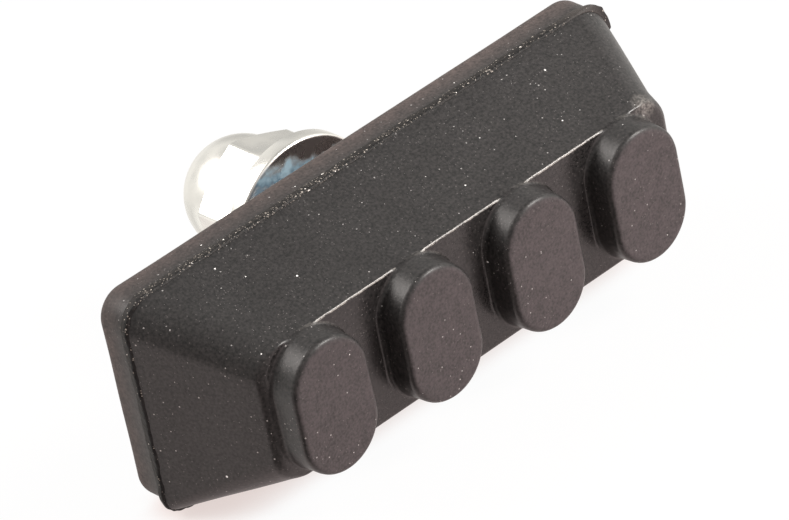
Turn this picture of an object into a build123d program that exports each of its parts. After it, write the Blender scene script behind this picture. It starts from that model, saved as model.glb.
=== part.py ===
from build123d import *
from math import cos, radians, tan
import os

os.makedirs("parts", exist_ok=True)

# Bicycle rim brake pad: a moulded rubber block on a steel stud, with a washer and a dome nut.
# The frame has X along the block, Z up, and Y along the stud, away from the wheel rim.
# The origin is on the stud's axis, where it leaves the block's flat back.
# Depths count from the back towards the rim, and reaches from the back towards the nut.

# Rubber block
flange_length = 48.7
flange_height = 18.0
flange_corner = 2.4
flange_depth = 3.4
back_round = 1.0
plateau_height = 11.3
plateau_depth = 12.6
plateau_margin = 0.75  # flat left at each end of the row of friction studs
taper_corner = 2.3  # rounding of the four sloping corners
block_rise = 0.3  # middle of the block above the steel stud's axis
front_shift = 0.2  # middle of the plateau along from the flange's middle

# Friction studs, an upright row that laps over the plateau's long edges
friction_count = 4
friction_pitch = 10.6
friction_shift = 0.05  # middle of the row along from the flange's middle
friction_width = 7.2
friction_rise = 2.4
friction_draft = 3.5  # degrees on every side wall
friction_lap = 0.05
friction_crown = 0.35
friction_anchor = 1.0  # length of the walls below the plateau, inside the block

# Flash at the parting line, with a tab left on two opposite corners
flash_proud = 0.1
flash_thickness = 0.5
low_tab_along = 0.2
low_tab_down = 0.5
high_tab_along = 0.45

# Steel stud
thread_diameter = 6.0
thread_chamfer = 0.6
thread_end_room = 0.6
head_length = 16.0
head_width = 9.0
head_thickness = 2.5
head_cover = 2.0  # rubber between the head and the block's back

# Washer
arm_gap = 5.6  # room for the brake arm, from the block's back to the washer
washer_diameter = 13.6
washer_thickness = 1.4
washer_chamfer = 0.2
washer_clearance = 0.2

# Dome nut
nut_flats = 10.0
nut_turn = -17.8  # degrees, where the nut came to rest
nut_edge = 4.0  # length of the hexagon's corner edges
nut_chamfer = 25.0  # degrees, at both ends of the hexagon
bearing_inset = 0.3
dome_inset = 0.4
dome_neck = 0.7  # straight length below the dome
dome_wall = 2.2  # metal over the end of the bore
thread_clearance = 0.05

# Places along the stud
nut_corner = nut_flats / 2 / cos(radians(30))
bearing_radius = nut_flats / 2 - bearing_inset
dome_radius = nut_flats / 2 - dome_inset
nut_seat = arm_gap + washer_thickness
edge_start = nut_seat + (nut_corner - bearing_radius) * tan(radians(nut_chamfer))
edge_end = edge_start + nut_edge
neck_start = edge_end + (nut_corner - dome_radius) * tan(radians(nut_chamfer))
dome_centre = neck_start + dome_neck
dome_tip = dome_centre + dome_radius
bore_end = dome_tip - dome_wall
thread_end = bore_end - thread_end_room

# Sizes of the friction row, at the plateau and at the deeper ends of its walls
friction_slope = tan(radians(friction_draft))
foot_width = friction_width + 2 * friction_rise * friction_slope
foot_height = plateau_height + 2 * friction_lap
anchor_spread = 2 * friction_anchor * friction_slope
plateau_length = (friction_count - 1) * friction_pitch + foot_width + 2 * plateau_margin


def across_block(depth):
    """The plane across the block at a depth, with its origin in the block's middle."""
    return Plane((0, -depth, block_rise), x_dir=(1, 0, 0), z_dir=(0, -1, 0))


# Steel stud: a threaded shank on a broad oblong head that can't turn in the rubber
with BuildPart() as threaded_stud:
    with BuildSketch(Plane.XZ.offset(head_cover)):
        SlotOverall(head_length, head_width)
    extrude(amount=head_thickness)
    with BuildSketch(Plane.XZ.offset(head_cover)):
        Circle(thread_diameter / 2)
    extrude(amount=-(head_cover + thread_end))
    shank_end = threaded_stud.faces().sort_by(Axis.Y)[-1]
    chamfer(shank_end.edges(), thread_chamfer)

threaded_stud.part.label = "threaded_stud"


# Rubber block: a tapered front, a flange and the friction studs, moulded round the steel stud
with BuildPart() as rubber_block:
    # the taper's end view carries its long slopes, and its plan trims the two ends
    with BuildSketch(Plane((0, 0, block_rise), x_dir=(0, 1, 0), z_dir=(1, 0, 0))):
        Polygon(
            (-flange_depth, -flange_height / 2),
            (-flange_depth, flange_height / 2),
            (-plateau_depth, plateau_height / 2),
            (-plateau_depth, -plateau_height / 2),
            align=None,
        )
    extrude(amount=flange_length / 2, both=True)
    with BuildSketch(Plane((0, 0, block_rise))):
        Polygon(
            (-flange_length / 2, -flange_depth),
            (flange_length / 2, -flange_depth),
            (front_shift + plateau_length / 2, -plateau_depth),
            (front_shift - plateau_length / 2, -plateau_depth),
            align=None,
        )
    extrude(amount=flange_height / 2, both=True, mode=Mode.INTERSECT)
    corner_edges = rubber_block.edges().filter_by_position(
        Axis.Y, -plateau_depth, -flange_depth, inclusive=(False, False)
    )
    fillet(corner_edges, taper_corner)

    with BuildSketch(across_block(0)):
        RectangleRounded(flange_length, flange_height, flange_corner)
    extrude(amount=flange_depth)
    back_face = rubber_block.faces().sort_by(Axis.Y)[-1]
    fillet(back_face.edges(), back_round)

    # each wall leans in by the draft, from its end inside the block up to the friction face
    with BuildSketch(across_block(plateau_depth - friction_anchor)):
        with Locations((friction_shift, 0)):
            with GridLocations(friction_pitch, 0, friction_count, 1):
                SlotOverall(foot_height + anchor_spread, foot_width + anchor_spread, rotation=90)
    extrude(amount=friction_anchor + friction_rise, taper=friction_draft)
    friction_faces = rubber_block.faces().sort_by(Axis.Y)[:friction_count]
    fillet(friction_faces.edges(), friction_crown)

    # the flash lies behind the parting line, and its tabs are rounded like the corners they stand on
    corner_x = flange_length / 2 - flange_corner
    corner_z = flange_height / 2 - flange_corner
    with BuildSketch(across_block(flange_depth - flash_thickness)):
        RectangleRounded(
            flange_length + 2 * flash_proud,
            flange_height + 2 * flash_proud,
            flange_corner + flash_proud,
        )
        with Locations((-corner_x - low_tab_along, -corner_z - low_tab_down)):
            Circle(flange_corner + flash_proud)
        with Locations((corner_x + high_tab_along, corner_z)):
            Circle(flange_corner + flash_proud)
    extrude(amount=flash_thickness)

    add(threaded_stud.part, mode=Mode.SUBTRACT)

rubber_block.part.label = "rubber_block"


# Washer: stamped, with its rim broken on the side of the brake arm
with BuildPart() as washer:
    with BuildSketch(Plane.XZ.offset(-arm_gap)):
        Circle(washer_diameter / 2)
        Circle(thread_diameter / 2 + washer_clearance, mode=Mode.SUBTRACT)
    extrude(amount=-washer_thickness)
    arm_side = washer.faces().sort_by(Axis.Y)[0]
    chamfer(arm_side.outer_wire().edges(), washer_chamfer)

washer.part.label = "washer"


# Dome nut: a hexagon trimmed by a turned profile, with a blind bore for the stud
with BuildPart() as dome_nut:
    with BuildSketch(Plane.XZ.offset(-nut_seat)):
        RegularPolygon(nut_flats / 2, 6, major_radius=False, rotation=nut_turn)
    extrude(amount=-(dome_tip - nut_seat))

    with BuildSketch(Plane.XY):
        with BuildLine():
            Polyline(
                (0, dome_tip),
                (0, nut_seat),
                (bearing_radius, nut_seat),
                (nut_corner, edge_start),
                (nut_corner, edge_end),
                (dome_radius, neck_start),
                (dome_radius, dome_centre),
            )
            RadiusArc((dome_radius, dome_centre), (0, dome_tip), -dome_radius)
        make_face()
    revolve(axis=Axis.Y, mode=Mode.INTERSECT)

    with BuildSketch(Plane.XZ.offset(-nut_seat)):
        Circle(thread_diameter / 2 + thread_clearance)
    extrude(amount=-(bore_end - nut_seat), mode=Mode.SUBTRACT)

dome_nut.part.label = "dome_nut"


for piece in (rubber_block, threaded_stud, washer, dome_nut):
    export_step(piece.part, f"parts/{piece.part.label}.step")
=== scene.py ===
import bpy
import itertools
import math
from mathutils import Matrix, Vector
import numpy as np


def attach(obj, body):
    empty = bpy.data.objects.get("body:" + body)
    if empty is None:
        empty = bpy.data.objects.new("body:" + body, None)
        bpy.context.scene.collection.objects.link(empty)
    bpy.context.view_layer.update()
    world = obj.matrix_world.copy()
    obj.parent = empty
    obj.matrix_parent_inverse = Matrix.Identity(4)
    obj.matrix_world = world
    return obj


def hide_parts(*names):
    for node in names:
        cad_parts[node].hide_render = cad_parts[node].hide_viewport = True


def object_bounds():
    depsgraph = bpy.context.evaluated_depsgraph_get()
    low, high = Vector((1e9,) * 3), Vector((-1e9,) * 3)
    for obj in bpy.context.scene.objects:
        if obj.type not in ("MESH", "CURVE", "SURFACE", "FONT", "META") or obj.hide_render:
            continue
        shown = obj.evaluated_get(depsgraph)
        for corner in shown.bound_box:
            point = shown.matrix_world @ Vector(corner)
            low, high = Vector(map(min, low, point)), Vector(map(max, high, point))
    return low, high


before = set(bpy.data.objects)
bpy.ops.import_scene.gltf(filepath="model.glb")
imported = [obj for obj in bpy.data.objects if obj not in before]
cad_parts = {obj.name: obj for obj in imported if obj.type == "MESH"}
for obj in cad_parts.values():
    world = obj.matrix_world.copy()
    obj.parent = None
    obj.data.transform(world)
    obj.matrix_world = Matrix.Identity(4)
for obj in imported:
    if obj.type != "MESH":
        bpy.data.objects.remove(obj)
cad_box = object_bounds()

MM = 0.001

# Sizes in millimetres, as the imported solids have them; depths count from the block's back
flange_length = 48.7
flange_height = 18.0
flange_corner = 2.4
flange_depth = 3.4
back_round = 1.0
plateau_length = 40.79
plateau_height = 11.3
plateau_depth = 12.6
block_rise = 0.3
front_shift = 0.2
friction_count = 4
friction_pitch = 10.6
friction_shift = 0.05
friction_foot_width = 7.494
friction_foot_height = 11.4
friction_depth = 15.0
friction_slope = math.tan(math.radians(3.5))
friction_anchor = 1.0
friction_straight = (friction_foot_height - friction_foot_width) / 2
thread_radius = 3.0
thread_end = 14.55
thread_chamfer = 0.6
head_length = 16.0
head_width = 9.0
head_half = (head_length - head_width) / 2
head_cover = 2.0
head_back = 4.5
washer_seat = 5.6
washer_radius = 6.8
washer_bore = 3.2
nut_seat = 7.0
nut_flat_radius = 5.0
nut_turn = math.radians(-17.8)
nut_bore = 3.05
nut_bore_end = 15.15
bearing_radius = 4.7
edge_start = 7.5
edge_end = 11.5
neck_start = 12.05
dome_centre = 12.75
dome_radius = 4.6

# Small forms that only the scene has, or has a little larger than the solids, in millimetres too
taper_corner = 2.35
friction_crown = 0.48
friction_root = 0.3
plateau_edge_round = 0.12
worn_end_start = 18.3  # from the plateau's middle
worn_end_run = 1.8
worn_end_round = 0.45  # more than along the edges
right_end_fuller = 0.35
low_left_sharper = 1.2
rubber_unevenness = 0.015
chafe_spot = (19.1, -12.5, 5.6)
chafe_spread = 0.9  # square millimetres
chafe_lumps = 0.06
skin_step = 0.207
skin_low = (-24.8, -15.4, -9.2)
skin_high = (24.8, 0.5, 9.8)
flash_step = 0.08
flash_seam = 0.02
flash_teeth = 0.05
flash_tear = (0.09, 0.14)  # along the long sides, and more at the two ends
flash_limit = (0.09, 0.12)
flash_waver = 0.12
flash_lean = 0.39  # inwards for each millimetre ahead of the parting line
flash_root = 0.3
flash_root_depths = (2.65, 3.5)
lip_start = 0.05
lip_torn_share = 0.3
crest_by_lip = 0.4
thread_pitch = 1.0
thread_height = 0.54
head_lap = 0.2
head_ease = 0.2
washer_roll = 0.3
washer_burr = 0.1
countersink_width = 0.35
countersink_depth = 0.3
plated_ease = 0.12


def linear(hex_colour):
    """An sRGB hex colour as linear RGBA."""
    channels = [int(hex_colour[i:i + 2], 16) / 255 for i in (1, 3, 5)]
    values = [c / 12.92 if c <= 0.04045 else ((c + 0.055) / 1.055) ** 2.4 for c in channels]
    return (*values, 1.0)


def per_mm(size):
    """The texture scale at which a pattern repeats about every size millimetres."""
    return 1 / (size * MM)


def put(tree, kind, inputs=None, **settings):
    """Adds a shader node with its settings, and sets its inputs or links them to other nodes.

    A node given as an input stands for its first output.
    """
    node = tree.nodes.new(kind)
    for name, value in settings.items():
        setattr(node, name, value)
    for name, value in (inputs or {}).items():
        if isinstance(value, bpy.types.Node):
            value = value.outputs[0]
        if isinstance(value, bpy.types.NodeSocket):
            tree.links.new(value, node.inputs[name])
        else:
            node.inputs[name].default_value = value
    return node


def new_material(name):
    """An empty node material with its output, ready for a shader."""
    material = bpy.data.materials.new(name)
    material.use_nodes = True
    tree = material.node_tree
    tree.nodes.clear()
    return material, tree, put(tree, "ShaderNodeOutputMaterial")


def scatter(tree, place, base, amount, grades):
    """The base colour with grades of specks over it, each as thick as the amount allows."""
    for spacing, radius, share, colour, strength in grades:
        cell = put(tree, "ShaderNodeTexVoronoi", {"Vector": place, "Scale": per_mm(spacing)})
        chance = put(tree, "ShaderNodeSeparateColor", {0: cell.outputs["Color"]})
        wanted = put(tree, "ShaderNodeMath", {0: amount, 1: share}, operation="MULTIPLY")
        picked = put(
            tree, "ShaderNodeMath", {0: chance.outputs[0], 1: wanted}, operation="LESS_THAN"
        )
        size = put(
            tree, "ShaderNodeMapRange",
            {
                "Value": chance.outputs[1],
                "To Min": 0.4 * radius / spacing, "To Max": radius / spacing,
            },
        )
        near = put(
            tree, "ShaderNodeMath", {0: cell.outputs["Distance"], 1: size}, operation="LESS_THAN"
        )
        both = put(tree, "ShaderNodeMath", {0: near, 1: picked}, operation="MULTIPLY")
        speck = put(tree, "ShaderNodeMath", {0: both, 1: strength}, operation="MULTIPLY")
        base = put(
            tree, "ShaderNodeMix",
            {0: speck, 6: base, 7: linear(colour)}, data_type="RGBA",
        ).outputs[2]
    return base


# Moulded rubber: near black and satin, with the mould's faint grain and pale dust caught on it
def moulded_rubber():
    material, tree, output = new_material("moulded_rubber")
    place = put(tree, "ShaderNodeTexCoord").outputs["Object"]
    spot = put(tree, "ShaderNodeSeparateXYZ", {0: place})
    # the mould's grain is finer than 0.22 mm, and is drawn coarse enough to show
    mottle, bloom, grain = (
        put(
            tree, "ShaderNodeTexNoise",
            {"Vector": place, "Scale": per_mm(size), "Detail": detail},
        )
        for size, detail in ((4.0, 3.0), (0.8, 4.0), (0.22, 2.0))
    )
    speckle = put(
        tree, "ShaderNodeMapRange",
        {"Value": grain.outputs["Fac"], "From Min": 0.3, "From Max": 0.7},
    )
    patch = put(
        tree, "ShaderNodeMix",
        {0: speckle, 6: linear("#1b1b1b"), 7: linear("#393737")},
        data_type="RGBA",
    )
    # the flange and the friction faces were cut in the mould with a matter, paler texture
    flange = put(
        tree, "ShaderNodeMapRange",
        {
            "Value": spot.outputs["Y"],
            "From Min": -(flange_depth - 0.1) * MM, "From Max": -(flange_depth - 0.4) * MM,
        },
    )
    flange_fade = put(
        tree, "ShaderNodeMapRange",
        {"Value": spot.outputs["Y"], "From Min": -3.0 * MM, "From Max": -1.0 * MM},
    )
    faded_flange = put(tree, "ShaderNodeMath", {0: flange, 1: flange_fade}, operation="MULTIPLY")
    face = put(
        tree, "ShaderNodeMapRange",
        {
            "Value": spot.outputs["Y"], "To Min": 0.66, "To Max": 0.0,
            "From Min": -(friction_depth - 0.03) * MM, "From Max": -(friction_depth - 0.15) * MM,
        },
    )
    matter = put(tree, "ShaderNodeMath", {0: faded_flange, 1: face}, operation="MAXIMUM")
    blotch = put(
        tree, "ShaderNodeMath",
        {0: bloom.outputs["Fac"], 1: grain.outputs["Fac"]}, operation="ADD",
    )
    uneven = put(
        tree, "ShaderNodeMapRange",
        {
            "Value": blotch, "From Min": 0.75, "From Max": 1.25,
            "To Min": 0.29, "To Max": 0.71,
        },
    )
    texture = put(tree, "ShaderNodeMath", {0: matter, 1: uneven}, operation="MULTIPLY")
    texture_tone = put(
        tree, "ShaderNodeMix",
        {0: flange, 6: linear("#61585b"), 7: linear("#665a57")},
        data_type="RGBA",
    )
    base = put(
        tree, "ShaderNodeMix",
        {0: texture, 6: patch.outputs[2], 7: texture_tone.outputs[2]},
        data_type="RGBA",
    )
    # painted shade darkens the left half a little, and the plateau between the studs; the foot of
    # the slopes by the parting line is darker too, most at the left
    painted_left_shade = put(
        tree, "ShaderNodeMapRange",
        {
            "Value": spot.outputs["X"], "From Min": -20 * MM, "From Max": 10 * MM,
            "To Min": 0.2, "To Max": 0.0,
        },
    )
    ahead = put(
        tree, "ShaderNodeMath", {0: spot.outputs["Y"], 1: flange_depth * MM}, operation="ADD"
    )
    off_line = put(tree, "ShaderNodeMath", {0: ahead}, operation="ABSOLUTE")
    foot = put(
        tree, "ShaderNodeMapRange",
        {
            "Value": off_line, "From Min": 0.1 * MM, "From Max": 1.0 * MM,
            "To Min": 0.5, "To Max": 0.0,
        },
    )
    foot_share = put(
        tree, "ShaderNodeMath", {0: painted_left_shade, 1: 3.5, 2: 0.3}, operation="MULTIPLY_ADD"
    )
    left_foot = put(tree, "ShaderNodeMath", {0: foot, 1: foot_share}, operation="MULTIPLY")
    above_plateau = put(
        tree, "ShaderNodeMath",
        {0: spot.outputs["Y"], 1: (plateau_depth - 0.03) * MM}, operation="ADD",
    )
    off_plateau = put(tree, "ShaderNodeMath", {0: above_plateau}, operation="ABSOLUTE")
    at_plateau = put(
        tree, "ShaderNodeMapRange",
        {
            "Value": off_plateau, "From Min": 0.05 * MM, "From Max": 0.22 * MM,
            "To Min": 1.0, "To Max": 0.0,
        },
    )
    past_first = put(
        tree, "ShaderNodeMapRange",
        {"Value": spot.outputs["X"], "From Min": -19.6 * MM, "From Max": -18.6 * MM},
    )
    on_plateau = put(tree, "ShaderNodeMath", {0: at_plateau, 1: past_first}, operation="MULTIPLY")
    # painted shade on the plateau, added to the painted shade towards the left
    plateau_shade = put(
        tree, "ShaderNodeMath", {0: on_plateau, 1: 0.13, 2: painted_left_shade}, operation="MULTIPLY_ADD"
    )
    shade = put(tree, "ShaderNodeMath", {0: plateau_shade, 1: left_foot}, operation="MAXIMUM")
    shaded = put(
        tree, "ShaderNodeMix",
        {0: shade, 6: base.outputs[2], 7: linear("#000000")}, data_type="RGBA",
    )
    # dust lies in drifts, as fine faint specks with fewer pale ones and here and there a white
    drift = put(
        tree, "ShaderNodeMapRange",
        {
            "Value": mottle.outputs["Fac"], "From Min": 0.4, "From Max": 0.68,
            "To Min": 0.12, "To Max": 0.9,
        },
    )
    # and thickest beside the parting line along the top
    beside = put(
        tree, "ShaderNodeMapRange",
        {
            "Value": off_line, "From Min": 0.3 * MM, "From Max": 2.2 * MM,
            "To Min": 0.55, "To Max": 0.0,
        },
    )
    on_top = put(
        tree, "ShaderNodeMapRange",
        {"Value": spot.outputs["Z"], "From Min": 6.0 * MM, "From Max": 8.0 * MM},
    )
    line_dust = put(tree, "ShaderNodeMath", {0: beside, 1: on_top}, operation="MULTIPLY")
    dust = put(tree, "ShaderNodeMath", {0: drift, 1: line_dust}, operation="MAXIMUM")
    dusty = scatter(
        tree, place, shaded.outputs[2], dust,
        (
            (0.25, 0.055, 1.0, "#7c7877", 0.45),
            (0.55, 0.07, 0.9, "#b4b2b1", 0.7),
            (1.4, 0.09, 0.8, "#f4f3f2", 0.95),
        ),
    )
    # a few short lint fibres lie along the block
    drawn_out = put(
        tree, "ShaderNodeVectorMath", {0: place, 1: (0.12, 1.0, 1.0)}, operation="MULTIPLY"
    )
    dusty = scatter(
        tree, drawn_out.outputs["Vector"], dusty, drift,
        ((1.1, 0.045, 0.35, "#d8d3cd", 0.8),),
    )
    # between the friction studs the plateau's upper edge is painted pale in patches, partly
    # rubbed wear and partly a painted highlight
    above = put(
        tree, "ShaderNodeMath", {0: spot.outputs["Z"], 1: block_rise * MM}, operation="SUBTRACT"
    )
    waver = put(
        tree, "ShaderNodeMapRange",
        {
            "Value": bloom.outputs["Fac"], "From Min": 0.3, "From Max": 0.7,
            "To Min": -0.025 * MM, "To Max": 0.025 * MM,
        },
    )
    wavy = put(tree, "ShaderNodeMath", {0: above, 1: waver}, operation="ADD")
    on_edge = put(
        tree, "ShaderNodeMath",
        {0: wavy, 1: (plateau_height / 2 - 0.04) * MM, 2: 0.06 * MM},
        operation="COMPARE",
    )
    at_front = put(
        tree, "ShaderNodeMath",
        {0: spot.outputs["Y"], 1: -(plateau_depth - 0.04) * MM, 2: 0.1 * MM}, operation="COMPARE",
    )
    in_row = put(
        tree, "ShaderNodeMath", {0: spot.outputs["X"], 1: 0.0, 2: 16.0 * MM}, operation="COMPARE"
    )
    # and the roots of the friction studs get a faint painted highlight at their upper right ends
    from_stud = put(
        tree, "ShaderNodeMath",
        {0: spot.outputs["X"], 1: (friction_shift + friction_pitch / 2) * MM},
        operation="SUBTRACT",
    )
    along = put(
        tree, "ShaderNodeMath",
        {0: from_stud, 1: friction_pitch / 2 * MM, 2: -friction_pitch / 2 * MM},
        operation="WRAP",
    )
    past_straight = put(
        tree, "ShaderNodeMath", {0: above, 1: friction_straight * MM}, operation="SUBTRACT"
    )
    round_end = put(tree, "ShaderNodeCombineXYZ", {0: along, 1: past_straight})
    reach = put(tree, "ShaderNodeVectorMath", {0: round_end}, operation="LENGTH")
    in_gap = put(
        tree, "ShaderNodeMath",
        {0: reach.outputs["Value"], 1: (friction_foot_width / 2 + 0.15) * MM},
        operation="GREATER_THAN",
    )
    edge_wear_and_highlight = on_edge
    for share in (at_front, in_row, in_gap):
        edge_wear_and_highlight = put(tree, "ShaderNodeMath", {0: edge_wear_and_highlight, 1: share}, operation="MULTIPLY")
    on_root = put(
        tree, "ShaderNodeMath",
        {0: reach.outputs["Value"], 1: (friction_foot_width / 2 + 0.12) * MM, 2: 0.08 * MM},
        operation="COMPARE",
    )
    at_root = put(
        tree, "ShaderNodeMath",
        {0: spot.outputs["Y"], 1: -plateau_depth * MM, 2: 0.2 * MM}, operation="COMPARE",
    )
    upper_end = put(
        tree, "ShaderNodeMapRange",
        {
            "Value": past_straight, "From Min": 1.6 * MM, "From Max": 3.0 * MM,
            "To Min": 0.0, "To Max": 0.15,
        },
    )
    rightward = put(
        tree, "ShaderNodeMapRange", {"Value": along, "From Min": -0.3 * MM, "From Max": 0.5 * MM}
    )
    painted_root_highlight = on_root
    for share in (at_root, upper_end, rightward):
        painted_root_highlight = put(tree, "ShaderNodeMath", {0: painted_root_highlight, 1: share}, operation="MULTIPLY")
    # the pale edge and root lines, in patches: part wear, part painted highlight
    pale_edge_and_root_highlight = put(tree, "ShaderNodeMath", {0: edge_wear_and_highlight, 1: painted_root_highlight}, operation="MAXIMUM")
    rubbed_and_lit_patches = put(
        tree, "ShaderNodeMapRange",
        {
            "Value": blotch, "From Min": 0.8, "From Max": 1.2,
            "To Min": 0.1, "To Max": 0.5,
        },
    )
    pale_edge_and_painted_highlight = put(tree, "ShaderNodeMath", {0: pale_edge_and_root_highlight, 1: rubbed_and_lit_patches}, operation="MULTIPLY")
    # the right end of the plateau is chafed round its upper corner, and painted pale there,
    # partly wear and partly a painted highlight
    to_chafe = put(
        tree, "ShaderNodeVectorMath",
        {0: place, 1: tuple(c * MM for c in chafe_spot)}, operation="DISTANCE",
    )
    chafe_and_highlight = put(
        tree, "ShaderNodeMapRange",
        {
            "Value": to_chafe.outputs["Value"], "From Min": 0.3 * MM, "From Max": 1.3 * MM,
            "To Min": 0.3, "To Max": 0.0,
        },
    )
    chafe_and_highlight_grain = put(
        tree, "ShaderNodeMapRange",
        {
            "Value": grain.outputs["Fac"], "From Min": 0.35, "From Max": 0.65,
            "To Min": 0.2, "To Max": 1.0,
        },
    )
    chafe_and_highlight_share = put(tree, "ShaderNodeMath", {0: chafe_and_highlight, 1: chafe_and_highlight_grain}, operation="MULTIPLY")
    wear_and_painted_highlight = put(tree, "ShaderNodeMath", {0: pale_edge_and_painted_highlight, 1: chafe_and_highlight_share}, operation="MAXIMUM")
    # these pale marks share one colour: part wear, part painted highlight
    dusty = put(
        tree, "ShaderNodeMix",
        {0: wear_and_painted_highlight, 6: dusty, 7: linear("#d2cdc6")}, data_type="RGBA",
    ).outputs[2]
    rough = put(
        tree, "ShaderNodeMapRange",
        {
            "Value": mottle.outputs["Fac"], "From Min": 0.3, "From Max": 0.7,
            "To Min": 0.36, "To Max": 0.44,
        },
    )
    all_rough = put(
        tree, "ShaderNodeMath", {0: matter, 1: 0.24, 2: rough}, operation="MULTIPLY_ADD"
    )
    # the plateau came out of the mould smoother, and mirrors the walls beside it
    plateau_rough = put(
        tree, "ShaderNodeMath", {0: on_plateau, 1: -0.13, 2: all_rough}, operation="MULTIPLY_ADD"
    )
    grain_strength = put(
        tree, "ShaderNodeMath", {0: on_plateau, 1: -0.36, 2: 0.4}, operation="MULTIPLY_ADD"
    )
    bump = put(
        tree, "ShaderNodeBump",
        {
            "Height": grain.outputs["Fac"], "Distance": 0.03 * MM,
            "Strength": grain_strength,
        },
    )
    shader = put(
        tree, "ShaderNodeBsdfPrincipled",
        {
            "Base Color": dusty,
            "Roughness": plateau_rough,
            "Specular IOR Level": 0.42,
            "Normal": bump.outputs["Normal"],
        },
    )
    tree.links.new(shader.outputs["BSDF"], output.inputs["Surface"])
    return material


# Torn rubber: the same black where the flash was pulled off, with dark pits and pale crumbs
def torn_rubber():
    material, tree, output = new_material("torn_rubber")
    place = put(tree, "ShaderNodeTexCoord").outputs["Object"]
    spot = put(tree, "ShaderNodeSeparateXYZ", {0: place})
    tear, stretch = (
        put(
            tree, "ShaderNodeTexNoise",
            {"Vector": place, "Scale": per_mm(size), "Detail": detail},
        )
        for size, detail in ((0.3, 3.0), (3.5, 2.0))
    )
    plain = put(
        tree, "ShaderNodeMix",
        {0: tear.outputs["Fac"], 6: linear("#171514"), 7: linear("#35312f")}, data_type="RGBA",
    )
    # the pits lie along the parting line itself
    behind = put(
        tree, "ShaderNodeMath",
        {0: spot.outputs["Y"], 1: (flange_depth - 0.02) * MM}, operation="ADD",
    )
    off_line = put(tree, "ShaderNodeMath", {0: behind}, operation="ABSOLUTE")
    on_line = put(
        tree, "ShaderNodeMapRange",
        {
            "Value": off_line, "From Min": 0.08 * MM, "From Max": 0.32 * MM,
            "To Min": 1.0, "To Max": 0.4,
        },
    )
    pitted = put(
        tree, "ShaderNodeMapRange",
        {
            "Value": tear.outputs["Fac"], "From Min": 0.5, "From Max": 0.66,
            "To Min": 1.0, "To Max": 0.0,
        },
    )
    # the lip on the upper corner came away clean
    off_lip = put(
        tree, "ShaderNodeMapRange",
        {
            "Value": spot.outputs["X"], "From Min": 19.0 * MM, "From Max": 22.0 * MM,
            "To Min": 1.0, "To Max": 0.15,
        },
    )
    open_pit = on_line
    for share in (pitted, off_lip):
        open_pit = put(tree, "ShaderNodeMath", {0: open_pit, 1: share}, operation="MULTIPLY")
    # and at the left end the whole line is darkened, partly torn pits and partly painted shade in
    # its groove
    left_end = put(
        tree, "ShaderNodeMapRange",
        {
            "Value": spot.outputs["X"], "From Min": -23.6 * MM, "From Max": -22.0 * MM,
            "To Min": 0.75, "To Max": 0.0,
        },
    )
    painted_left_end_shade = put(tree, "ShaderNodeMath", {0: on_line, 1: left_end}, operation="MULTIPLY")
    all_pits = put(tree, "ShaderNodeMath", {0: open_pit, 1: painted_left_end_shade}, operation="MAXIMUM")
    # the lip's face is painted paler, a painted highlight joining the corner's, and turns plain
    # dark again at its outer end
    lip_end = put(
        tree, "ShaderNodeMapRange",
        {"Value": spot.outputs["X"], "From Min": 23.2 * MM, "From Max": 24.4 * MM},
    )
    painted_lip_highlight = put(
        tree, "ShaderNodeMix",
        {0: lip_end, 6: linear("#474341"), 7: linear("#1c1a19")},
        data_type="RGBA",
    )
    smooth = put(
        tree, "ShaderNodeMix",
        {0: off_lip, 6: painted_lip_highlight.outputs[2], 7: plain.outputs[2]},
        data_type="RGBA",
    )
    dark = put(
        tree, "ShaderNodeMix",
        {0: all_pits, 6: smooth.outputs[2], 7: linear("#090808")}, data_type="RGBA",
    )
    # more crumbs stayed along the top than down the ends
    upper = put(
        tree, "ShaderNodeMapRange",
        {
            "Value": spot.outputs["Z"], "From Min": 5.5 * MM, "From Max": 9.0 * MM,
            "To Min": 0.25, "To Max": 1.0,
        },
    )
    patches = put(
        tree, "ShaderNodeMapRange",
        {
            "Value": stretch.outputs["Fac"], "From Min": 0.35, "From Max": 0.6,
            "To Min": 0.4, "To Max": 1.0,
        },
    )
    left_on = upper
    for share in (patches, off_lip):
        left_on = put(tree, "ShaderNodeMath", {0: left_on, 1: share}, operation="MULTIPLY")
    crumbs = scatter(
        tree, place, dark.outputs[2], left_on,
        (
            (0.16, 0.065, 0.7, "#938c84", 0.7),
            (0.3, 0.085, 0.55, "#bab3aa", 0.8),
            (0.7, 0.11, 0.6, "#f4f0ea", 1.0),
        ),
    )
    rough = put(
        tree, "ShaderNodeMapRange", {"Value": tear.outputs["Fac"], "To Min": 0.5, "To Max": 0.7}
    )
    bump = put(
        tree, "ShaderNodeBump",
        {"Height": tear.outputs["Fac"], "Strength": 0.6, "Distance": 0.06 * MM},
    )
    shader = put(
        tree, "ShaderNodeBsdfPrincipled",
        {
            "Base Color": crumbs,
            "Roughness": rough,
            "Specular IOR Level": 0.34,
            "Normal": bump.outputs["Normal"],
        },
    )
    tree.links.new(shader.outputs["BSDF"], output.inputs["Surface"])
    return material


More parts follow.
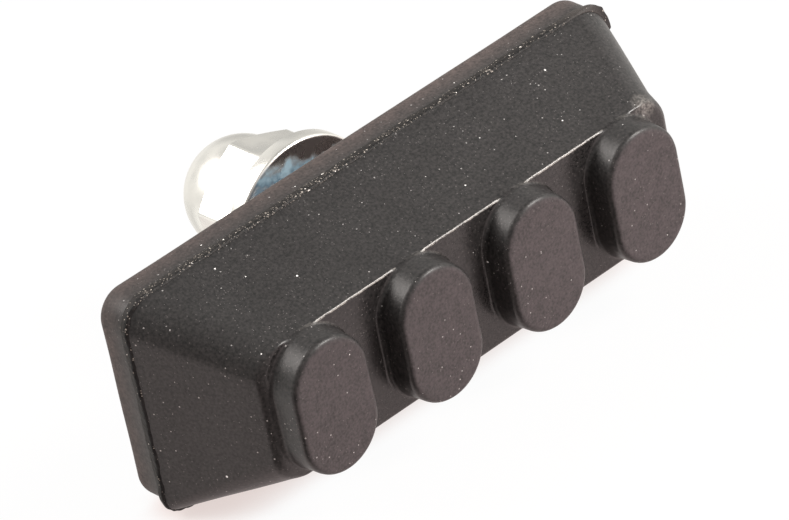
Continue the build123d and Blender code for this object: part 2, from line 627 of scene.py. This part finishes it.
# Zinc plate on steel: bright and softly clouded, hazed blue where the brake arm pressed it
def zinc_plate(name, haze_share):
    material, tree, output = new_material(name)
    place = put(tree, "ShaderNodeTexCoord").outputs["Object"]
    spot = put(tree, "ShaderNodeSeparateXYZ", {0: place})
    cloud, smear, grit = (
        put(
            tree, "ShaderNodeTexNoise",
            {"Vector": place, "Scale": per_mm(size), "Detail": detail},
        )
        for size, detail in ((2.5, 4.0), (1.3, 5.0), (0.25, 2.0))
    )
    shade = put(
        tree, "ShaderNodeMapRange",
        {"Value": cloud.outputs["Fac"], "From Min": 0.35, "From Max": 0.65},
    )
    base = put(
        tree, "ShaderNodeMix",
        {0: shade, 6: linear("#e5e5e1"), 7: linear("#f4f3ee")},
        data_type="RGBA",
    )
    pressed = put(
        tree, "ShaderNodeMapRange",
        {
            "Value": spot.outputs["Y"], "To Min": haze_share, "To Max": 0.0,
            "From Min": (washer_seat + 0.02) * MM, "From Max": (washer_seat + 0.1) * MM,
        },
    )
    # its upper rim and right side stayed clear
    aside = put(
        tree, "ShaderNodeMath",
        {0: spot.outputs["Z"], 1: 5.0, 2: spot.outputs["X"]}, operation="MULTIPLY_ADD",
    )
    spread = put(
        tree, "ShaderNodeMapRange",
        {
            "Value": aside, "From Min": 22.7 * MM, "From Max": 31.0 * MM,
            "To Min": 0.25, "To Max": -0.25,
        },
    )
    smeared = put(tree, "ShaderNodeMath", {0: smear.outputs["Fac"], 1: spread}, operation="ADD")
    hazy = put(tree, "ShaderNodeMapRange", {"Value": smeared, "From Min": 0.45, "From Max": 0.7})
    haze = put(tree, "ShaderNodeMath", {0: pressed, 1: hazy}, operation="MULTIPLY")
    dull = put(
        tree, "ShaderNodeMix",
        {0: pressed, 6: base.outputs[2], 7: linear("#bfbcba")},
        data_type="RGBA",
    )
    wisp = put(
        tree, "ShaderNodeMapRange",
        {"Value": smear.outputs["Fac"], "From Min": 0.42, "From Max": 0.66},
    )
    haze_tone = put(
        tree, "ShaderNodeMix",
        {0: wisp, 6: linear("#4f6f85"), 7: linear("#a8c5d4")}, data_type="RGBA",
    )
    tone = put(
        tree, "ShaderNodeMix",
        {0: haze, 6: dull.outputs[2], 7: haze_tone.outputs[2]}, data_type="RGBA",
    )
    metal = put(tree, "ShaderNodeMath", {0: 1.0, 1: haze}, operation="SUBTRACT")
    rough = put(
        tree, "ShaderNodeMapRange",
        {
            "Value": cloud.outputs["Fac"], "From Min": 0.3, "From Max": 0.7,
            "To Min": 0.22, "To Max": 0.32,
        },
    )
    bump = put(
        tree, "ShaderNodeBump",
        {"Height": grit.outputs["Fac"], "Strength": 0.15, "Distance": 0.02 * MM},
    )
    shader = put(
        tree, "ShaderNodeBsdfPrincipled",
        {
            "Base Color": tone.outputs[2],
            "Roughness": rough,
            "Metallic": metal,
            "Normal": bump.outputs["Normal"],
        },
    )
    tree.links.new(shader.outputs["BSDF"], output.inputs["Surface"])
    return material


rubber = moulded_rubber()
torn = torn_rubber()
zinc = zinc_plate("zinc_plate", 0.0)
hazed_zinc = zinc_plate("hazed_zinc_plate", 1.0)


def piece(name, points, faces, finish, node=None, normals=None):
    """A smooth piece from points in millimetres, which rides on the pad."""
    mesh = bpy.data.meshes.new(name)
    mesh.from_pydata([tuple(p) for p in np.asarray(points) * MM], [], [tuple(f) for f in faces])
    mesh.polygons.foreach_set("use_smooth", [True] * len(mesh.polygons))
    mesh.update()
    if normals is not None:
        mesh.normals_split_custom_set_from_vertices([tuple(n) for n in normals])
    mesh.materials.append(finish)
    made = bpy.data.objects.new(name, mesh)
    bpy.context.scene.collection.objects.link(made)
    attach(made, "root")
    if node:
        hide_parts(node)


def ramp(value, start, run):
    """Nought up to a start, and one from a run further on."""
    return np.clip((value - start) / run, 0, 1)


def outside_corner(a, b, radius):
    """Two walls that meet at an outside corner, rounded to a radius."""
    flat = np.minimum(np.maximum(a, b), -radius)
    return flat + np.hypot(np.maximum(a + radius, 0), np.maximum(b + radius, 0))


def inside_corner(a, b, radius):
    """Two walls that meet at an inside corner, filled to a radius."""
    return -outside_corner(-a, -b, radius)


def wander(x, y, z, size, seed):
    """A slow unevenness between about -1 and 1, over distances of about size."""
    draws = np.random.default_rng(seed)
    total = 0
    for _ in range(6):
        way = draws.normal(size=3)
        way = way / np.linalg.norm(way) * 2 * math.pi / size
        phase = draws.uniform(0, 2 * math.pi)
        total = total + np.sin(way[0] * x + way[1] * y + way[2] * z + phase)
    return total / 3


def rubber_gap(x, y, z):
    """How far a point is from the moulded rubber, negative inside it."""
    depth = -y
    up = z - block_rise
    taper_run = plateau_depth - flange_depth
    taper_rise = (flange_height - plateau_height) / 2
    taper_in = (flange_length - plateau_length) / 2
    ahead = np.maximum(depth - flange_depth, 0) / taper_run
    long_lean = np.where(ahead > 0, taper_run / math.hypot(taper_run, taper_rise), 1.0)
    end_lean = np.where(ahead > 0, taper_run / math.hypot(taper_run, taper_in), 1.0)
    long_wall = (np.abs(up) - flange_height / 2 + taper_rise * ahead) * long_lean
    end_wall = (np.abs(x - front_shift * ahead) - flange_length / 2 + taper_in * ahead) * end_lean
    # the block stands a little fuller round the plateau's right end, and at its lower left corner
    right_end = ramp(x, 14, 4) * ramp(ahead, 0.8, 0.2)
    low_left = ramp(-x, 0, 5) * ramp(-up, 0, 3)
    low_left = low_left * ramp(depth, 2.9, 0.5) * (1 - ramp(ahead, 0, 0.9))
    fuller_end = end_wall - right_end_fuller * right_end
    block = outside_corner(long_wall, fuller_end, taper_corner - low_left_sharper * low_left)
    block = outside_corner(block, -depth, back_round)
    # the plateau's long edges are crisp, and its two ends are worn round
    to_end = ramp(np.abs(x - front_shift), worn_end_start, worn_end_run)
    front_round = plateau_edge_round + worn_end_round * to_end
    block = outside_corner(block, depth - plateau_depth, front_round)
    middle = (friction_count - 1) / 2
    row = np.clip(np.round((x - friction_shift) / friction_pitch + middle), 0, friction_count - 1)
    along = x - friction_shift - (row - middle) * friction_pitch
    reach = np.hypot(along, np.maximum(np.abs(up) - friction_straight, 0))
    stud_wall = reach - friction_foot_width / 2 + (depth - plateau_depth) * friction_slope
    stud = outside_corner(stud_wall, depth - friction_depth, friction_crown)
    stud = np.maximum(stud, plateau_depth - friction_anchor - depth)
    block = inside_corner(block, stud, friction_root)
    block = block + rubber_unevenness * np.maximum(wander(x, y, z, 7.0, 3) + 1, 0)
    # the chafed corner is lumpy
    from_chafe = (x - chafe_spot[0]) ** 2 + (y - chafe_spot[1]) ** 2 + (z - chafe_spot[2]) ** 2
    near_chafe = np.exp(-from_chafe / chafe_spread)
    block = block + chafe_lumps * near_chafe * wander(x, y, z, 0.9, 5)
    # room for the steel stud and its oblong head, which lap a little
    shank = np.maximum(np.hypot(x, z) - thread_radius, depth - head_cover - head_lap)
    head = np.hypot(np.maximum(np.abs(x) - head_half, 0), z) - head_width / 2
    from_middle = np.abs(depth - (head_cover + head_back) / 2)
    head = np.maximum(head, from_middle - (head_back - head_cover) / 2)
    return np.maximum(block, -np.minimum(shank, head))


def slope_of(gap, points):
    """The direction in which the gap grows at each point."""
    step = 0.01
    rows = []
    for axis in range(3):
        shift = np.zeros(3)
        shift[axis] = step
        rows.append((gap(*(points + shift).T) - gap(*(points - shift).T)) / (2 * step))
    return np.stack(rows, axis=1)


def skin(gap, low, high, step):
    """Points, four-sided faces and normals over the surface where the gap is nought."""
    axes = [np.arange(a, b + step, step) for a, b in zip(low, high)]
    value = gap(*np.meshgrid(*axes, indexing="ij"))
    inside = value < 0
    cells = tuple(n - 1 for n in inside.shape)
    filled = np.zeros(cells, int)
    for corner in itertools.product((0, 1), repeat=3):
        filled += inside[tuple(slice(c, c + n) for c, n in zip(corner, cells))]
    on_surface = (filled > 0) & (filled < 8)
    cell = np.argwhere(on_surface)
    number = np.full(cells, -1)
    number[on_surface] = np.arange(len(cell))
    total = np.zeros((len(cell), 3))
    crossings = np.zeros(len(cell))
    faces = []
    for axis in range(3):
        second, third = (axis + 1) % 3, (axis + 2) % 3
        for near, far in itertools.product((0, 1), repeat=2):
            start = cell.copy()
            start[:, second] += near
            start[:, third] += far
            end = start.copy()
            end[:, axis] += 1
            at_start, at_end = value[tuple(start.T)], value[tuple(end.T)]
            crosses = (at_start < 0) != (at_end < 0)
            place = start.astype(float)
            place[crosses, axis] += (at_start / (at_start - at_end + 1e-12))[crosses]
            total[crosses] += place[crosses]
            crossings += crosses
        lower = [slice(1, -1)] * 3
        upper = [slice(1, -1)] * 3
        lower[axis] = slice(0, -1)
        upper[axis] = slice(1, None)
        leaves = inside[tuple(lower)] & ~inside[tuple(upper)]
        enters = ~inside[tuple(lower)] & inside[tuple(upper)]
        for change, order in ((leaves, (0, 1, 2, 3)), (enters, (3, 2, 1, 0))):
            edge = np.argwhere(change) + 1
            edge[:, axis] -= 1
            ring = []
            for back, down in ((0, 0), (1, 0), (1, 1), (0, 1)):
                beside = edge.copy()
                beside[:, second] -= back
                beside[:, third] -= down
                ring.append(number[tuple(beside.T)])
            faces.append(np.stack([ring[i] for i in order], axis=1))
    points = np.asarray(low) + step * total / crossings[:, None]
    for _ in range(3):
        way = slope_of(gap, points)
        move = gap(*points.T)[:, None] * way / np.maximum((way ** 2).sum(axis=1), 0.2)[:, None]
        points = points - np.clip(move, -step / 2, step / 2)
    way = slope_of(gap, points)
    normals = way / np.maximum(np.linalg.norm(way, axis=1), 1e-9)[:, None]
    return points, np.concatenate(faces), normals


# Rubber block, skinned finely enough for its rounded crowns, filled roots and worn ends
block_points, block_faces, block_normals = skin(rubber_gap, skin_low, skin_high, skin_step)
piece(
    "block_skin", block_points, block_faces, rubber,
    node="rubber_block", normals=block_normals,
)


def flange_outline(spacing):
    """Points round the flange, the ways out from them and how far round they are."""
    run_x = flange_length - 2 * flange_corner
    run_z = flange_height - 2 * flange_corner
    bend = flange_corner * math.pi / 2
    lengths = [run_z, bend, run_x, bend, run_z, bend, run_x, bend]
    starts = np.concatenate([[0], np.cumsum(lengths)])
    run = np.linspace(0, starts[-1], round(starts[-1] / spacing), endpoint=False)
    side = np.searchsorted(starts, run, side="right") - 1
    past = run - starts[side]
    quarter = side // 2
    on_bend = side % 2 == 1
    angle = quarter * math.pi / 2 + np.where(on_bend, past / flange_corner, 0)
    out = np.stack([np.cos(angle), np.sin(angle)], axis=1)
    corner_x = np.array([1, -1, -1, 1]) * run_x / 2
    corner_z = np.array([1, 1, -1, -1]) * run_z / 2 + block_rise
    centre = np.stack([corner_x[quarter], corner_z[quarter]], axis=1)
    along = np.stack([-out[:, 1], out[:, 0]], axis=1)
    length = np.array(lengths)[side]
    short = np.where(on_bend, 0, length - past)
    place = centre + out * flange_corner - along * short[:, None]
    return place, out, run, starts


def ragged(draws, shape, width):
    """Unevenness between 0 and 1 along a closed line, smoothed over width samples."""
    rough = draws.uniform(size=shape)
    kernel = np.hanning(width + 2)[1:-1]
    smooth = sum(k * np.roll(rough, i, axis=0) for i, k in enumerate(kernel)) / kernel.sum()
    spread = smooth - smooth.min()
    return spread / spread.max()


# Flash: a torn strip along the parting line, with a lip left on two opposite corners
# each lip, by the way past its corner and how far it stands out
low_lip = (
    (-2.1, 0.0), (-1.44, 0.25), (-0.8, 0.45), (-0.22, 0.6), (0.27, 0.62), (0.82, 0.58),
    (1.27, 0.55), (1.76, 0.55), (2.7, 0.54), (3.7, 0.46), (4.7, 0.36), (5.7, 0.22),
    (8.8, 0.15), (12.0, 0.0),
)
high_lip = (
    (-2.42, 0.0), (-2.34, 0.48), (-2.07, 0.5), (-1.55, 0.43), (-1.02, 0.42), (-0.39, 0.48),
    (0.13, 0.42), (0.65, 0.26), (1.12, 0.1), (1.9, 0.0),
)
# the strip's rows, by depth, share of the torn crest and share of the lip
flash_rows = (
    (3.56, -0.6, -0.1), (3.5, 0.1, 0.0), (3.45, 0.6, 0.15), (3.4, 1.0, 0.9), (3.34, 1.0, 1.0),
    (3.28, 0.9, 1.0), (3.21, 0.8, 1.0), (3.13, 0.6, 1.0), (3.05, 0.4, 0.98), (2.96, 0.2, 0.9),
    (2.88, 0.1, 0.3), (2.8, -0.2, 0.0), (2.7, -0.8, -0.1),
)


def parting_flash():
    draws = np.random.default_rng(11)
    place, out, run, starts = flange_outline(flash_step)
    count = len(run)
    low_corner = (starts[5] + starts[6]) / 2
    high_corner = (starts[1] + starts[2]) / 2
    lip = np.interp(run - low_corner, *np.array(low_lip).T)
    lip = lip + np.interp(run - high_corner, *np.array(high_lip).T)
    depths, crest, lip_share = np.array(flash_rows).T
    tear = ragged(draws, (count, 1), 9) * ragged(draws, (count, 1), 40)
    teeth = ragged(draws, (count, len(depths)), 2)
    # the two ends are torn deeper than the long sides
    at_end = np.abs(out[:, :1]) ** 4
    tear_height = flash_tear[0] + flash_tear[1] * at_end
    proud = flash_seam + crest * (flash_seam + tear_height * tear)
    proud = proud + flash_teeth * (teeth - 0.5) * (crest > 0)
    proud = np.minimum(proud, flash_limit[0] + flash_limit[1] * at_end)
    torn_lip = lip * (1 - lip_torn_share * ragged(draws, (count,), 7) * np.minimum(lip * 2, 1))
    crest_share = np.where(lip[:, None] > lip_start, crest_by_lip, 1.0)
    rise = proud * crest_share + torn_lip[:, None] * lip_share
    # ahead of the parting line the strip follows the taper
    rise = rise - np.maximum(depths - flange_depth, 0) * flash_lean
    beside_lip = 1 - np.minimum(lip[:, None] * 4, 1)
    shift = flash_waver * (ragged(draws, (count, 1), 14) - 0.5) * beside_lip
    rows = []
    for j, depth in enumerate(depths):
        spot = place + out * rise[:, j:j + 1]
        rows.append(np.stack([spot[:, 0], -(depth + shift[:, 0]), spot[:, 1]], axis=1))
    for depth in flash_root_depths:
        spot = place - out * flash_root
        rows.append(np.stack([spot[:, 0], np.full(count, -depth), spot[:, 1]], axis=1))
    points = np.stack(rows, axis=1).reshape(-1, 3)
    across = len(rows)
    i, j = np.meshgrid(np.arange(count), np.arange(across), indexing="ij")
    i, j = i.ravel(), j.ravel()
    after = (i + 1) % count
    beside = (j + 1) % across
    faces = np.stack(
        [i * across + j, i * across + beside, after * across + beside, after * across + j], axis=1
    )
    return points, faces


flash_points, flash_faces = parting_flash()
piece("parting_flash", flash_points, flash_faces, torn)


def between(rings, pairs):
    """Four-sided faces between each pair of neighbouring rings."""
    count, around = rings.shape[:2]
    faces = []
    for k in range(pairs):
        m = (k + 1) % count
        for i in range(around):
            n = (i + 1) % around
            faces.append((k * around + i, m * around + i, m * around + n, k * around + n))
    return faces


def wrap(rings):
    """Points and faces over a row of rings, closed at both ends by a fan to the axis."""
    rings = np.asarray(rings)
    count, around = rings.shape[:2]
    points = np.concatenate([rings.reshape(-1, 3), rings[[0, -1]].mean(axis=1)])
    faces = between(rings, count - 1)
    first, last = len(points) - 2, len(points) - 1
    for i in range(around):
        n = (i + 1) % around
        faces.append((first, i, n))
        faces.append((last, (count - 1) * around + n, (count - 1) * around + i))
    return points, faces


def ring_at(angles, radius, reach):
    """One ring of points round the stud's axis."""
    radius = np.broadcast_to(radius, angles.shape)
    along = np.full(len(angles), reach)
    return np.stack([radius * np.cos(angles), along, radius * np.sin(angles)], axis=1)


def smooth_least(a, b, blend):
    """The lesser of two radii, with the edge between them eased over blend."""
    mix = np.maximum(blend - np.abs(a - b), 0) / blend
    return np.minimum(a, b) - mix ** 2 * blend / 4


# Dome nut: a hexagon trimmed by a turned profile, its edges eased by the plating
def dome_nut():
    angles = np.linspace(0, 2 * math.pi, 288, endpoint=False)
    sector = np.mod(angles - nut_turn, math.pi / 3) - math.pi / 6
    flats = nut_flat_radius / np.cos(sector)
    corner = nut_flat_radius / math.cos(math.pi / 6)
    flats = smooth_least(flats, corner, plated_ease)
    # the bore, its countersink and the bearing face
    profile = [(nut_bore * 0.5, nut_bore_end), (nut_bore, nut_bore_end)]
    profile += [(nut_bore, y) for y in np.linspace(nut_bore_end - 0.1, nut_seat + 0.35, 12)]
    for t in (0.3, 0.7, 1.0):
        profile.append((nut_bore + countersink_width * t, nut_seat + countersink_depth * (1 - t)))
    profile += [(r, nut_seat) for r in np.linspace(nut_bore + 0.45, bearing_radius - 0.05, 4)]
    rings = [ring_at(angles, r, y) for r, y in profile]
    # the chamfered hexagon and the neck
    for y in np.concatenate([
        np.linspace(nut_seat, edge_start + 0.15, 16)[1:],
        np.linspace(edge_start + 0.3, edge_end - 0.9, 12),
        np.linspace(edge_end - 0.8, neck_start + 0.2, 34),
        np.linspace(neck_start + 0.3, dome_centre, 5),
    ]):
        if y < edge_start:
            share = (y - nut_seat) / (edge_start - nut_seat)
            turned = bearing_radius + (corner - bearing_radius) * share
        elif y > edge_end:
            share = (y - edge_end) / (neck_start - edge_end)
            turned = max(corner - (corner - dome_radius) * share, dome_radius)
        else:
            turned = corner + 1
        rings.append(ring_at(angles, smooth_least(flats, turned, plated_ease), y))
    for lift in np.radians(np.linspace(3, 88, 40)):
        level = dome_centre + dome_radius * math.sin(lift)
        rings.append(ring_at(angles, dome_radius * math.cos(lift), level))
    return wrap(rings)


nut_points, nut_faces = dome_nut()
piece("dome_nut_skin", nut_points, nut_faces, zinc, node="dome_nut")


# Washer: stamped, with a rolled rim on the arm's side and a slight burr on the other
def stamped_washer():
    angles = np.linspace(0, 2 * math.pi, 224, endpoint=False)
    profile = []
    for t in np.radians(np.linspace(-90, 0, 7)):
        radius = washer_radius - washer_roll + washer_roll * math.cos(t)
        profile.append((radius, washer_seat + washer_roll + washer_roll * math.sin(t)))
    for t in np.radians(np.linspace(0, 90, 5)):
        radius = washer_radius - washer_burr + washer_burr * math.cos(t)
        profile.append((radius, nut_seat - washer_burr + washer_burr * math.sin(t)))
    profile += [(r, nut_seat) for r in (6.3, 5.4, 4.4, washer_bore + 0.2)]
    profile += [(washer_bore, nut_seat - 0.1), (washer_bore, washer_seat + 0.3)]
    profile += [(washer_bore + 0.1, washer_seat + 0.08), (washer_bore + 0.3, washer_seat)]
    profile += [(r, washer_seat) for r in (4.4, 5.4, 6.2)]
    rings = np.asarray([ring_at(angles, r, y) for r, y in profile])
    return rings.reshape(-1, 3), between(rings, len(rings))


washer_points, washer_faces = stamped_washer()
piece("washer_skin", washer_points, washer_faces, hazed_zinc, node="washer")


# Steel stud: an M6 thread rolled on the shank, and the oblong head inside the rubber
def threaded_stud():
    angles = np.linspace(0, 2 * math.pi, 96, endpoint=False)
    across, up = np.abs(np.cos(angles)), np.abs(np.sin(angles))
    head_end = head_width / 2
    on_flat = head_end * across <= head_half * up
    to_flat = head_end / np.maximum(up, 1e-6)
    to_end = head_half * across + np.sqrt(np.maximum(head_end ** 2 - (head_half * up) ** 2, 0))
    outline = np.where(on_flat, to_flat, to_end)
    profile = (
        (1.5, -head_back),
        (outline - head_ease, -head_back),
        (outline, -head_back + head_ease),
        (outline, -head_cover - head_ease),
        (outline - head_ease, -head_cover),
        (thread_radius, -head_cover),
    )
    rings = [ring_at(angles, r, y) for r, y in profile]
    for reach in np.arange(-head_cover + 0.1, thread_end, thread_pitch / 12):
        turn = np.mod(reach / thread_pitch + angles / (2 * math.pi), 1.0)
        crest = ramp(np.abs(turn - 0.5) * 2, 0.12, 0.7)
        # the thread runs out before the block's back
        cut = ramp(reach, 0.4, 1.2)
        radius = thread_radius - thread_height * (1 - crest) * cut
        tip = thread_radius - max(0.0, reach - (thread_end - thread_chamfer))
        rings.append(ring_at(angles, np.minimum(radius, tip), reach))
    rings.append(ring_at(angles, 1.2, thread_end))
    return wrap(rings)


stud_points, stud_faces = threaded_stud()
piece("threaded_stud_skin", stud_points, stud_faces, zinc, node="threaded_stud")


# Camera at the photograph's angle, with a long lens
camera_azimuth = math.radians(-36.80)
camera_elevation = math.radians(32.05)
camera_roll = math.radians(-11.93)
camera_distance = 495.1 * MM
camera_target = Vector((1.047, -2.581, -1.196)) * MM
camera_data = bpy.data.cameras.new("camera")
camera_data.lens = 305.5
camera_data.sensor_width = 36.0
camera_data.clip_start = 10 * MM
camera_data.clip_end = 10.0
camera = bpy.data.objects.new("camera", camera_data)
bpy.context.scene.collection.objects.link(camera)
camera_turn = (
    Matrix.Rotation(camera_azimuth, 4, "Z")
    @ Matrix.Rotation(math.pi / 2 - camera_elevation, 4, "X")
    @ Matrix.Rotation(camera_roll, 4, "Z")
)
camera.matrix_world = (
    Matrix.Translation(camera_target) @ camera_turn @ Matrix.Translation((0, 0, camera_distance))
)
bpy.context.scene.camera = camera


def background_rays(tree):
    """One for rays that see the background, straight, in shiny metal or through glass."""
    path = put(tree, "ShaderNodeLightPath")
    shiny = put(
        tree, "ShaderNodeMath",
        {0: path.outputs["Is Glossy Ray"], 1: path.outputs["Is Transmission Ray"]},
        operation="MAXIMUM",
    )
    seen = put(
        tree, "ShaderNodeMath", {0: path.outputs["Is Camera Ray"], 1: shiny}, operation="MAXIMUM"
    )
    return seen.outputs[0]


# Floor: plain white and bright to the eye, with the pad's shadow kept
def white_floor():
    material, tree, output = new_material("white_floor")
    # near the pad the glow gives way to the lit matte and turns warmer, a painted contact shadow
    # over the real one
    contact = put(
        tree, "ShaderNodeAmbientOcclusion", {"Distance": 3 * MM}, samples=8, only_local=False
    )
    open_share = put(
        tree, "ShaderNodeMapRange",
        {
            "Value": contact.outputs["AO"], "From Min": 0.3, "From Max": 0.75,
            "To Min": 0.76, "To Max": 0.97,
        },
    )
    share = put(
        tree, "ShaderNodeMath", {0: background_rays(tree), 1: open_share}, operation="MULTIPLY"
    )
    matte = put(tree, "ShaderNodeBsdfDiffuse", {"Color": linear("#f6eae7")})
    away = put(
        tree, "ShaderNodeMapRange",
        {"Value": contact.outputs["AO"], "From Min": 0.3, "From Max": 0.75},
    )
    glow_with_painted_shadow = put(
        tree, "ShaderNodeMix",
        {0: away, 6: linear("#faece8"), 7: linear("#ffffff")}, data_type="RGBA",
    )
    glow = put(tree, "ShaderNodeEmission", {"Color": glow_with_painted_shadow.outputs[2], "Strength": 1.0})
    both = put(tree, "ShaderNodeMixShader", {0: share, 1: matte, 2: glow})
    tree.links.new(both.outputs[0], output.inputs["Surface"])
    return material


floor_half = 600 * MM
floor_level = cad_box[0][2] - 0.02 * MM
floor_mesh = bpy.data.meshes.new("floor")
floor_mesh.from_pydata(
    [
        (x * floor_half, y * floor_half, floor_level)
        for x, y in ((-1, -1), (1, -1), (1, 1), (-1, 1))
    ],
    [],
    [(0, 1, 2, 3)],
)
floor = bpy.data.objects.new("floor", floor_mesh)
bpy.context.scene.collection.objects.link(floor)
floor_mesh.materials.append(white_floor())
# in shiny faces the lower half of the room stands in for it
floor.visible_glossy = False


# World: pale to the eye; to the pad, pale walls, a warm tinge low in front and a dimmer ceiling
wall_light = 1.13
wall_fall = (0.05, -0.42, 0.0)
ceiling_light = 0.47
matt_light = 0.6
world = bpy.data.worlds.new("studio")
bpy.context.scene.world = world
world.use_nodes = True
tree = world.node_tree
tree.nodes.clear()
way = put(tree, "ShaderNodeTexCoord").outputs["Generated"]
way_parts = put(tree, "ShaderNodeSeparateXYZ", {0: way})
to_front = put(tree, "ShaderNodeVectorMath", {0: way, 1: wall_fall}, operation="DOT_PRODUCT")
wall = put(tree, "ShaderNodeMath", {0: to_front.outputs["Value"], 1: wall_light}, operation="ADD")
ceiling = put(
    tree, "ShaderNodeMapRange",
    {
        "Value": way_parts.outputs["Z"], "From Min": 0.45, "From Max": 0.95,
        "To Min": 1.0, "To Max": ceiling_light,
    },
    interpolation_type="SMOOTHSTEP",
)
room = put(tree, "ShaderNodeMath", {0: wall, 1: ceiling}, operation="MULTIPLY")
# each panel has its direction, the closeness at which it starts and is full, and its light
bright_panels = (
    ((-0.1, 0.92, 0.38), 0.66, 0.86, 0.15),
    ((-0.5, 0.67, 0.55), 0.93, 0.985, 0.8),
    ((0.2, 0.92, -0.33), 0.88, 0.97, 0.15),
    ((0.8, 0.45, -0.4), 0.85, 0.95, 0.1),
    ((-0.71, 0.43, -0.56), 0.8, 0.93, 0.32),
)
# the dark room behind the camera and below it, and a grey card, with the light they leave
dark_panels = (
    ((-0.74, -0.66, 0.12), 0.56, 0.8, 0.34),
    ((-0.6, -0.62, -0.5), 0.76, 0.94, 0.06),
    ((0.72, 0.68, 0.14), 0.9, 0.97, 0.74),
)
for panels, beside, joins in ((bright_panels, 0.0, "ADD"), (dark_panels, 1.0, "MULTIPLY")):
    for direction, start, full, amount in panels:
        close = put(tree, "ShaderNodeVectorMath", {0: way, 1: direction}, operation="DOT_PRODUCT")
        panel = put(
            tree, "ShaderNodeMapRange",
            {
                "Value": close.outputs["Value"], "From Min": start, "From Max": full,
                "To Min": beside, "To Max": amount,
            },
            interpolation_type="SMOOTHSTEP",
        )
        room = put(tree, "ShaderNodeMath", {0: room, 1: panel}, operation=joins)
from_below = put(
    tree, "ShaderNodeVectorMath", {0: way, 1: (0.0, 1.0, 1.0)}, operation="DOT_PRODUCT"
)
tinge = put(
    tree, "ShaderNodeMapRange",
    {"Value": from_below.outputs["Value"], "From Min": -0.6, "From Max": 0.2},
)
colour = put(
    tree, "ShaderNodeMix",
    {0: tinge, 6: linear("#ffedea"), 7: linear("#fffcf7")}, data_type="RGBA",
)
# shiny faces see the room at full light, and matt faces get a share of it
plain = put(
    tree, "ShaderNodeMapRange",
    {"Value": background_rays(tree), "To Min": matt_light, "To Max": 1.0},
)
light = put(tree, "ShaderNodeMath", {0: room, 1: plain}, operation="MULTIPLY")
room_light = put(tree, "ShaderNodeBackground", {"Color": colour.outputs[2], "Strength": light})
backdrop = put(tree, "ShaderNodeBackground", {"Strength": 1.0})
path = put(tree, "ShaderNodeLightPath")
both = put(
    tree, "ShaderNodeMixShader", {0: path.outputs["Is Camera Ray"], 1: room_light, 2: backdrop}
)
put(tree, "ShaderNodeOutputWorld", {"Surface": both})


def softbox(name, direction, distance, size, power, colour):
    """A square lamp that looks at the pad from a direction."""
    lamp = bpy.data.lights.new(name, "AREA")
    lamp.size = size
    lamp.energy = power
    lamp.color = linear(colour)[:3]
    box = bpy.data.objects.new(name, lamp)
    bpy.context.scene.collection.objects.link(box)
    way = Vector(direction).normalized()
    box.location = way * distance
    box.rotation_euler = way.to_track_quat("Z", "Y").to_euler()


softbox("softbox_left", (-0.45, 0.5, 0.74), 0.6, 0.35, 2.4, "#fff8f4")
softbox("softbox_right", (0.5, -0.5, 0.66), 0.6, 0.2, 3.6, "#fffaf6")

bpy.context.scene.view_settings.view_transform = "Standard"
